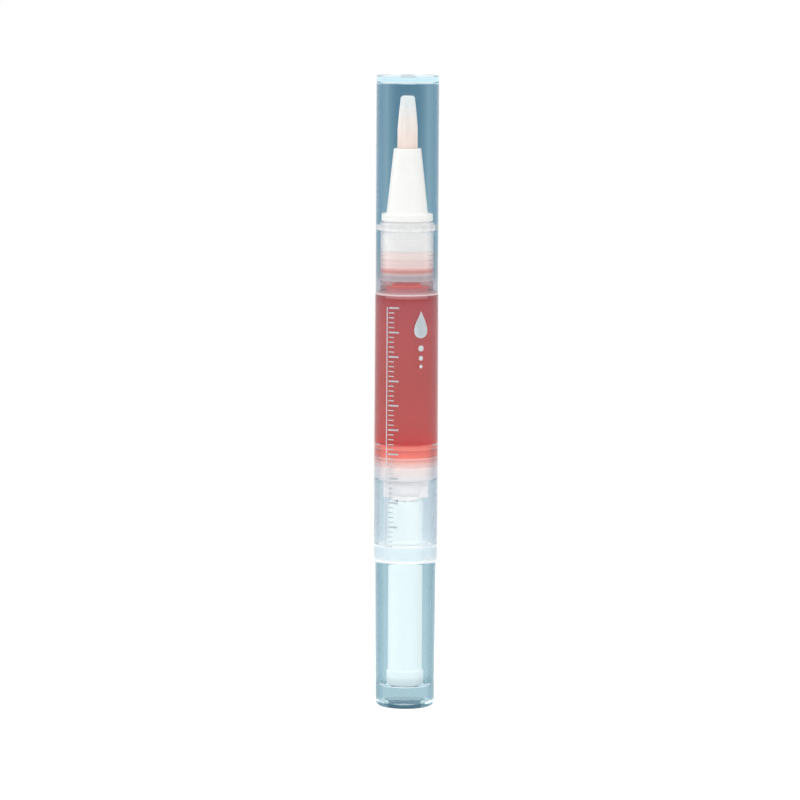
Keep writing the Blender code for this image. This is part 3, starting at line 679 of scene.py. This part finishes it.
def make_ink_look():
    nodes = Nodes("ink_silver_look")
    grain = nodes.noise(6.0, 3.0)
    nodes.feed("Base Color", nodes.ramp(grain, [(0.3, "b4bcc0"), (0.7, "dfe6e8")]))
    nodes.feed("Roughness", nodes.ramp(grain, [(0.3, 0.28), (0.7, 0.42)]))
    nodes.feed("Metallic", 0.6)
    return nodes.material


cap_look = make_cap_look()
knob_look = make_knob_look()
ferrule_look = plastic("ferrule_white_look", ("f4f4f1", "f7f7f4"), (0.3, 0.36), relief=0.0008).material
sleeve_look = make_sleeve_look()
guide_look = make_guide_look()
rod_look = plastic("rod_white_look", ("eef3f4", "f8fafa"), (0.32, 0.42)).material
ratchet_look = make_ratchet_look()
tube_look = plastic("tube_natural_look", ("e0e0dc", "ebebe7"), subsurface=0.2).material
barrel_look = make_barrel_look()
oil_look = make_oil_look(
    "oil_red_look",
    [
        (54.0, "e82e29"), (55.5, "d23733"), (58.0, "c8423f"), (68.0, "c04341"), (78.0, "c2474b"), (84.4, "bb404a"),
        (84.9, "d02a20"), (87.0, "f04030"),
    ],
    54.0, 87.5,
)
neck_oil_look = make_oil_look(
    "oil_neck_look",
    [(84.6, "bc7478"), (86.6, "bc6c72"), (86.85, "fc4230"), (87.2, "ff4430"), (87.7, "ff4a38")],
    84.0, 88.0, clear=0.1, ior=1.02,
)
film_look = make_oil_look(
    "oil_film_look",
    [(49.8, "f2dcd9"), (50.6, "f6cbc5"), (51.4, "f6aca2"), (52.0, "f88878"), (53.6, "fa6858")],
    46.0, 55.0,
)
piston_look = make_piston_look()
plug_look = make_plug_look()
tuft_look = make_tuft_look()
ink_look = make_ink_look()


# Pieces


def make_cap():
    rim = SHOULDER + OVERLAP
    rib = CAP_BORE - CAP_RIB_DEPTH
    boss_low = CAP_INNER_END - CAP_BOSS_HEIGHT
    turned_piece("cap_shell", rounded([
        (0, CAP_HIGH - GATE_DEPTH), (1.0, CAP_HIGH - GATE_DEPTH, 0.1), (GATE_RADIUS, CAP_HIGH, 0.15),
        (CAP_RADIUS, CAP_HIGH, 0.35), (CAP_RADIUS, rim, 0.05), (CAP_BORE, rim, 0.05),
        (CAP_BORE, CAP_RIB_LOW, 0.05), (rib, CAP_RIB_LOW + CAP_RIB_DEPTH, 0.05),
        (rib, CAP_RIB_HIGH - CAP_RIB_DEPTH, 0.05), (CAP_BORE, CAP_RIB_HIGH, 0.05),
        (CAP_BORE, CAP_INNER_END, 0.3), (CAP_BOSS_RADIUS, CAP_INNER_END, 0.1),
        (CAP_BOSS_RADIUS, boss_low, 0.12), (0, boss_low),
    ]), cap_look, "cap", "cap_clear", "cap")


def make_barrel():
    """The neck's bead reaches out to the cap's bore, so that no air shows between the two."""
    bead_slope, bead_lead_in = 0.25, 0.5
    turned_piece("barrel_tube", rounded([
        (BARREL_BORE, BARREL_LOW, 0.1), (BARREL_RADIUS, BARREL_LOW, 0.22),
        (BARREL_TOP_RADIUS, SHOULDER, 0.25), (NECK_RADIUS, SHOULDER, 0.12),
        (NECK_RADIUS, BEAD_LOW, 0.1), (CAP_BORE, BEAD_LOW + bead_slope, 0.1),
        (CAP_BORE, BARREL_HIGH - bead_lead_in, 0.2),
        (BEAD_TOP_RADIUS, BARREL_HIGH, 0.15), (NECK_BORE, BARREL_HIGH, 0.12),
        (NECK_BORE, NECK_LEDGE, 0.15), (NECK_OPENING, NECK_LEDGE, 0.15),
        (NECK_OPENING, CHAMBER_ROOF, 0.15), (BARREL_BORE, CHAMBER_ROOF, 0.4),
    ]), barrel_look, "barrel", "barrel_frosted", "barrel")


def make_knob():
    """The clear twist end: recess, rounded foot, thick floor with a bowl's corner, and the six-sided post."""
    foot = arc((STAND_RADIUS, FOOT_HEIGHT), (KNOB_BOTTOM_RADIUS - STAND_RADIUS, FOOT_HEIGHT), -90, 0, 8)
    bowl_width, bowl_height = 1.1, 3.0
    bowl_radius = KNOB_BOTTOM_RADIUS - KNOB_WALL - bowl_width
    bowl = arc((bowl_radius, KNOB_FLOOR + bowl_height), (bowl_width, bowl_height), 0, -90, 12)
    profile = rounded([
        (0, RECESS_HEIGHT), (RECESS_RADIUS, RECESS_HEIGHT, 0.3), (RECESS_RADIUS, 0, 0.15), *foot,
        (KNOB_RADIUS, KNOB_HIGH, 0.18), (KNOB_RADIUS - KNOB_WALL, KNOB_HIGH, 0.1), *bowl, (0, KNOB_FLOOR),
    ])
    knob = new_object("knob_grip", lathe(profile), knob_look)
    post = bmesh.new()
    sides = 6
    sink = 0.4
    corner = POST_HALF_WIDTH / math.cos(math.pi / sides) * MM
    lower, upper = (
        [
            post.verts.new((
                corner * math.cos(FULL_TURN * side / sides), corner * math.sin(FULL_TURN * side / sides), height * MM
            ))
            for side in range(sides)
        ]
        for height in (KNOB_FLOOR - sink, POST_HIGH)
    )
    post.faces.new(lower)
    post.faces.new(upper)
    for side in range(sides):
        post.faces.new((lower[side], lower[side - 1], upper[side - 1], upper[side]))
    tool = new_object("knob_post_tool", post, knob_look)
    union = knob.modifiers.new("post", "BOOLEAN")
    union.operation = "UNION"
    union.solver = "EXACT"
    union.object = tool
    graph = bpy.context.evaluated_depsgraph_get()
    joined = bpy.data.meshes.new_from_object(knob.evaluated_get(graph))
    knob.modifiers.clear()
    knob.data = joined
    joined.set_sharp_from_angle(angle=math.radians(SHARP_ANGLE))
    bpy.data.objects.remove(tool)
    place(knob, "knob", "knob_clear", "knob")


def make_ferrule():
    """A cone on a flange, with a spigot in the neck and a bore that widens upwards to the tuft's socket."""
    touch = NECK_BORE + OVERLAP / 2
    spigot_low, spigot_bore, spigot_bore_top = PLUG_HIGH + OVERLAP, 3.65, 1.7
    cone_foot, cone_top = 4.225, 2.8
    turned_piece("ferrule_cone", rounded([
        (spigot_bore, spigot_low, 0.05), (touch, spigot_low), (touch, FLANGE_LOW),
        (FERRULE_RADIUS, FLANGE_LOW, 0.15), (FERRULE_RADIUS, FLANGE_HIGH, 0.3), (cone_foot, FLANGE_HIGH, 0.35),
        (cone_top, FERRULE_HIGH, 0.3), (TUFT_SOCKET_RADIUS, FERRULE_HIGH, 0.1),
        (TUFT_SOCKET_RADIUS, TUFT_SOCKET_LOW, 0.1), (FEED_HOLE_RADIUS, TUFT_SOCKET_LOW, 0.1),
        (FEED_HOLE_RADIUS, FEED_HOLE_LOW, 0.1), (spigot_bore_top, FEED_HOLE_LOW, 0.1), (spigot_bore, FLANGE_LOW, 0.1),
    ]), ferrule_look, "barrel", "ferrule_white", "brush_ferrule")


def make_plug():
    """A cup with a web over it, three fine grooves round its upper half and the feed tube's hole."""
    touch = NECK_BORE + OVERLAP / 2
    groove = touch - 0.035
    ribs = [(touch, PLUG_HIGH)]
    for number in range(1, 4):
        top = PLUG_HIGH - number
        ribs += [
            (touch, top + 0.2, 0.02), (groove, top + 0.17, 0.01), (groove, top + 0.13, 0.01), (touch, top + 0.1, 0.02)
        ]
    turned_piece("plug_ringed", rounded([
        (PLUG_CUP_RADIUS, PLUG_WEB, 0.1), (PLUG_CUP_RADIUS, PLUG_LOW, 0.1), (touch, PLUG_LOW, 0.1),
        *reversed(ribs), (FEED_HOLE_RADIUS, PLUG_HIGH, 0.1), (FEED_HOLE_RADIUS, PLUG_WEB, 0.1),
    ]), plug_look, "barrel", "plug_frosted", "inner_plug")


def make_piston():
    """The plunger with the rod's socket, and the film of oil that fills its waist and its groove."""
    low, edge, lip = PISTON_LOW, 0.12, BARREL_BORE + OVERLAP / 2
    waist, waist_low, waist_high = PISTON_RADIUS - 0.2, low + 2.95, low + 4.3
    groove, groove_low, groove_high = PISTON_RADIUS - 0.6, low + 4.98, low + 6.3
    slope, slope_under_groove = 0.15, 0.18
    turned_piece("piston_seal", rounded([
        (0, ROD_SOCKET_HIGH), (ROD_SOCKET_RADIUS, ROD_SOCKET_HIGH, edge), (ROD_SOCKET_RADIUS, ROD_MOUTH_HIGH),
        (ROD_MOUTH_RADIUS, ROD_MOUTH_HIGH), (ROD_MOUTH_RADIUS, low, edge), (PISTON_RADIUS, low, 0.2),
        (lip, low + 0.5, edge), (lip, waist_low - slope, edge), (waist, waist_low, edge),
        (waist, waist_high, edge), (lip, waist_high + slope, edge),
        (lip, groove_low - slope_under_groove, edge), (groove, groove_low, edge),
        (groove, groove_high, edge), (lip, groove_high + slope, edge),
        (lip, PISTON_HIGH, 0.15), (DISH_MOUTH_RADIUS, PISTON_HIGH, edge),
        (DISH_RADIUS, PISTON_HIGH - DISH_DEPTH, edge), (0, PISTON_HIGH - DISH_DEPTH),
    ]), piston_look, "piston", "piston_natural", "piston")
    film = bmesh.new()
    sunk, short = 0.01, 0.02
    for bottom, under, over, slope_under, inset, fillet in (
        (groove, groove_low, groove_high, slope_under_groove, 0.02, 0.05),
        (waist, waist_low, waist_high, slope, 0.01, 0.02),
    ):
        add_turned(film, rounded([
            (bottom - sunk, under + inset, fillet), (lip, under - slope_under + short, fillet),
            (lip, over + slope - short, fillet), (bottom - sunk, over - inset, fillet),
        ]), STEPS)
    place(new_object("oil_film", film, film_look), "piston", "oil_red")


def make_oil():
    """The oil in the chamber, a fixed column here though in the pen it shortens as the piston rises, and the oil in
    the neck's opening with its dome.
    """
    top = CHAMBER_ROOF + OVERLAP
    wall = BARREL_BORE + OVERLAP
    dish_floor = OIL_LOW - DISH_DEPTH + OVERLAP
    oil = turned_piece("oil_column", rounded([
        (0, dish_floor), (DISH_RADIUS - 0.05, dish_floor, 0.05), (DISH_MOUTH_RADIUS - 0.05, OIL_LOW, 0.05),
        (wall, OIL_LOW, 0.05), (wall, top, 0.38), (0, top),
    ]), oil_look, "barrel", "oil_red", "oil_charge")
    opening = NECK_OPENING + OVERLAP
    dome = [(0.99, 0.2), (0.93, 0.4), (0.8, 0.56), (0.5, 0.68), (0, 0.72)]
    fill = rounded([(0, top), (opening, top, 0.05), (opening, FILL_HIGH)])
    fill += [(opening * share, FILL_HIGH + rise) for share, rise in dome]
    turned_piece("oil_in_neck", fill, neck_oil_look, "barrel", "oil_red", "oil_neck_fill")
    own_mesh(oil)


def make_tuft():
    """A tuft of fine tapered strands round a core on a backing disc, drawn in at its blunt tip."""
    draw = random.Random(11)
    strand_count, sides = 900, 4
    inner, outer = 0.5, 2.02
    backing_top = TUFT_LOW + 1.0
    hole = 0.4
    tuft = lathe(rounded([
        (hole, TUFT_LOW, 0.05), (TUFT_RADIUS, TUFT_LOW, 0.08),
        (TUFT_RADIUS, backing_top, 0.08), (hole, backing_top, 0.05),
    ]), 64)
    core_top = TUFT_HIGH - 0.7
    core = [
        (radius, backing_top + (core_top - backing_top) * rise)
        for rise, radius in ((0.0, 1.92), (0.25, 1.95), (0.5, 1.92), (0.75, 1.64), (0.9, 1.4), (1.0, 1.22))
    ]
    add_turned(tuft, [(0, backing_top - 0.05), *core, (0, core_top)], 48)
    golden = math.pi * (3 - math.sqrt(5))
    root = backing_top - 0.1
    # Share of the strand's length, share of its distance from the axis, share of its thickness
    levels = [
        (0.0, 1.0, 1.0), (0.25, 1.01, 1.0), (0.5, 1.0, 0.97), (0.75, 0.86, 0.85), (0.9, 0.75, 0.7), (1.0, 0.68, 0.3),
    ]
    for number in range(strand_count):
        out = math.sqrt(inner ** 2 + (outer ** 2 - inner ** 2) * (number + 0.5) / strand_count)
        angle = number * golden
        thick = draw.uniform(0.032, 0.045)
        tip = TUFT_HIGH - draw.uniform(0, 0.6) - 0.15 * (out / outer) ** 4
        lean = draw.uniform(-0.07, 0.07), draw.uniform(-0.07, 0.07)
        spin = draw.uniform(0, FULL_TURN)
        below = None
        for rise, pull, width in levels:
            x = out * pull * math.cos(angle) + lean[0] * rise
            y = out * pull * math.sin(angle) + lean[1] * rise
            z = root + (tip - root) * rise
            ring = [
                tuft.verts.new((
                    (x + thick * width * math.cos(spin + FULL_TURN * side / sides)) * MM,
                    (y + thick * width * math.sin(spin + FULL_TURN * side / sides)) * MM,
                    z * MM,
                ))
                for side in range(sides)
            ]
            if below:
                for side in range(sides):
                    after = (side + 1) % sides
                    tuft.faces.new((below[side], below[after], ring[after], ring[side]))
            else:
                tuft.faces.new(list(reversed(ring)))
            below = ring
        tuft.faces.new(below)
    place(new_object("tuft_strands", tuft, tuft_look, TUFT_SHARP_ANGLE), "barrel", "bristle_nylon", "brush_bristles")


def barrel_surface(height):
    """The barrel's outside radius at a height."""
    share = (height - BARREL_LOW) / (SHOULDER - BARREL_LOW)
    return BARREL_RADIUS + (BARREL_TOP_RADIUS - BARREL_RADIUS) * share


def ink_patch(bm, outline, thickness=0.014, sink=0.006):
    """A thin slab of ink on the barrel's front from an outline of (distance round, height) points."""
    layers = []
    for lift in (-sink, thickness):
        layer = []
        for along, height in outline:
            radius = barrel_surface(height) + lift
            angle = along / BARREL_RADIUS - math.pi / 2
            layer.append(bm.verts.new((radius * math.cos(angle) * MM, radius * math.sin(angle) * MM, height * MM)))
        layers.append(layer)
    bm.faces.new(list(reversed(layers[0])))
    bm.faces.new(layers[1])
    count = len(outline)
    for number in range(count):
        after = (number + 1) % count
        bm.faces.new((layers[0][number], layers[0][after], layers[1][after], layers[1][number]))


def bar(bm, along, height, width, tall):
    """A bar of ink with cut corners, centred at a place on the barrel."""
    cut = min(width, tall) * 0.25
    w, t = width / 2, tall / 2
    outline = [
        (-w + cut, -t), (w - cut, -t), (w, -t + cut), (w, t - cut),
        (w - cut, t), (-w + cut, t), (-w, t - cut), (-w, -t + cut),
    ]
    ink_patch(bm, [(along + x, height + y) for x, y in outline])


def drop(bm, along, height, width, tall):
    """A plain drop with its tip up."""
    outline = []
    for step in range(36):
        angle = math.radians(10 * step)
        narrow = math.sin(angle / 2) ** 1.6
        outline.append((along + width / 2 * math.sin(angle) * narrow * 1.3, height + tall / 2 * math.cos(angle)))
    ink_patch(bm, outline)


def make_print():
    """Plain silver marks where the photographed pen has its print: a level scale and a drop over three dots."""
    bm = bmesh.new()
    line, line_width, top, low = -4.35, 0.22, 83.0, 33.5
    short_mark, long_mark = (1.25, 0.2), (2.3, 0.32)
    bar(bm, line, (top + low) / 2, line_width, top - low)
    for number in range(50):
        reach, tall = short_mark if number % 5 else long_mark
        bar(bm, line + 0.45 + reach / 2, top - 0.15 - number, reach, tall)
    column = 3.1
    drop(bm, column, 79.5, 3.4, 5.6)
    first, sides = 74.6, 24
    for height in (first, 72.6, 70.9):
        size = 0.62 - (first - height) * 0.07
        turns = [FULL_TURN * side / sides for side in range(sides)]
        ink_patch(bm, [(column + size * math.cos(turn), height + size * math.sin(turn)) for turn in turns])
    place(new_object("ink_marks", bm, ink_look), "barrel", "barrel_frosted")


make_cap()
make_barrel()
make_knob()
make_ferrule()
make_plug()
make_piston()
make_oil()
make_tuft()
make_print()
same_shape("drive_sleeve", "sleeve_core", sleeve_look, "knob", "sleeve_white")
same_shape(
    "guide_nut", "guide_nut_body", guide_look, "barrel", "guide_natural",
    beyond=NUT_RING_FROM, touch=BARREL_BORE + 2 * OVERLAP,
)
same_shape(
    "ratchet_ring", "ratchet_teeth", ratchet_look, "barrel", "ratchet_white",
    raised=(NUT_HIGH - NUT_HEAD - NUT_GAP, NUT_GAP + OVERLAP),
)
same_shape("screw_rod", "rod_thread", rod_look, "rod", "rod_white")
same_shape("feed_tube", "feed_straw", tube_look, "barrel", "tube_natural")


# Stage: floor, world, lamps and camera, in metres

AMBIENT = 0.66
FLOOR_GLOW = 0.36
FLOOR_HALF = 40.0
FLOOR_SINK = 0.00004
FLOOR_NEAR_MM, FLOOR_FAR_MM = 120, 450
FRAME_PIXELS = 800
FOCAL_PIXELS = 5227
SENSOR_MM = 36
ROLL_DEGREES = 0.29
LAMPS = [
    # Name, place, width and height, power, whether gloss shows it
    ("softbox_left", (-1.0, 0.4, 0.4), (0.7, 1.3), 4.0, False),
    ("softbox_right", (1.08, -0.07, 0.4), (0.35, 1.3), 3.0, False),
    ("softbox_back_right", (0.8, 0.85, 0.4), (0.5, 1.3), 1.6, False),
    ("softbox_front", (-0.35, -1.0, 1.1), (1.2, 0.8), 10.5, True),
]


def make_floor():
    """A pale floor. Away from the object it reads as plain white paper, as far as the camera sees."""
    bm = bmesh.new()
    for x, y in ((-1, -1), (1, -1), (1, 1), (-1, 1)):
        bm.verts.new((x * FLOOR_HALF, y * FLOOR_HALF, -FLOOR_SINK))
    bm.faces.new(bm.verts)
    nodes = Nodes("floor_white")
    nodes.feed("Base Color", nodes.ramp(nodes.noise(0.02, 3.0), [(0.3, "e6e6e6"), (0.7, "ebebeb")]))
    nodes.feed("Roughness", 0.9)
    nodes.feed("Specular IOR Level", 0.0)
    seen = nodes.seen()
    glow = nodes.add("ShaderNodeEmission")
    nodes.link(nodes.math("MULTIPLY", seen, FLOOR_GLOW), glow.inputs["Strength"])
    near = nodes.add("ShaderNodeAddShader")
    nodes.link(nodes.shader.outputs[0], near.inputs[0])
    nodes.link(glow.outputs[0], near.inputs[1])
    far = nodes.add("ShaderNodeEmission")
    nodes.link(nodes.math("MULTIPLY_ADD", seen, 1 - AMBIENT, AMBIENT), far.inputs["Strength"])
    away = nodes.add("ShaderNodeVectorMath", operation="LENGTH")
    nodes.link(nodes.position, away.inputs[0])
    edge = nodes.add("ShaderNodeMapRange", interpolation_type="SMOOTHSTEP")
    edge.inputs["From Min"].default_value = FLOOR_NEAR_MM
    edge.inputs["From Max"].default_value = FLOOR_FAR_MM
    nodes.link(away.outputs["Value"], edge.inputs["Value"])
    nodes.mix_shaders(edge.outputs[0], near, far)
    new_object("floor", bm, nodes.material)


def make_world():
    """White where it is seen, straight or in gloss or glass, and AMBIENT as light on the object."""
    world = bpy.data.worlds.new("studio")
    bpy.context.scene.world = world
    world.use_nodes = True
    nodes, links = world.node_tree.nodes, world.node_tree.links
    nodes.clear()
    path = nodes.new("ShaderNodeLightPath")
    seen = path.outputs["Is Camera Ray"]
    for kind in ("Is Glossy Ray", "Is Transmission Ray"):
        either = nodes.new("ShaderNodeMath")
        either.operation = "MAXIMUM"
        links.new(seen, either.inputs[0])
        links.new(path.outputs[kind], either.inputs[1])
        seen = either.outputs[0]
    mix = nodes.new("ShaderNodeMixShader")
    links.new(seen, mix.inputs["Fac"])
    for socket, strength in ((mix.inputs[1], AMBIENT), (mix.inputs[2], 1.0)):
        white = nodes.new("ShaderNodeBackground")
        white.inputs["Color"].default_value = (1, 1, 1, 1)
        white.inputs["Strength"].default_value = strength
        links.new(white.outputs[0], socket)
    out = nodes.new("ShaderNodeOutputWorld")
    links.new(mix.outputs[0], out.inputs["Surface"])


def aimed(thing, place_at, target, roll=0.0):
    """Put a lamp or camera in its place, looking at the target and rolled by that many degrees."""
    bpy.context.scene.collection.objects.link(thing)
    thing.location = place_at
    turn = (Vector(target) - Vector(place_at)).to_track_quat("-Z", "Y")
    thing.rotation_euler = (turn @ Quaternion((0, 0, 1), math.radians(roll))).to_euler()
    return thing


def make_lamp(name, place_at, size, power, shine):
    data = bpy.data.lights.new(name, "AREA")
    data.shape = "RECTANGLE"
    data.size, data.size_y = size
    data.energy = power
    lamp = aimed(bpy.data.objects.new(name, data), place_at, (0, 0, 0.065))
    lamp.visible_camera = False
    lamp.visible_transmission = False
    lamp.visible_glossy = shine


def make_camera():
    data = bpy.data.cameras.new("camera")
    data.sensor_width = SENSOR_MM
    data.lens = FOCAL_PIXELS * SENSOR_MM / FRAME_PIXELS
    data.clip_start, data.clip_end = 0.05, 100
    aside = -0.00128
    camera = aimed(bpy.data.objects.new("camera", data), (aside, -1.066, 0.1784), (aside, 0, 0.0634), ROLL_DEGREES)
    bpy.context.scene.camera = camera


make_floor()
make_world()
for lamp in LAMPS:
    make_lamp(*lamp)
make_camera()
bpy.context.scene.view_settings.view_transform = "Standard"
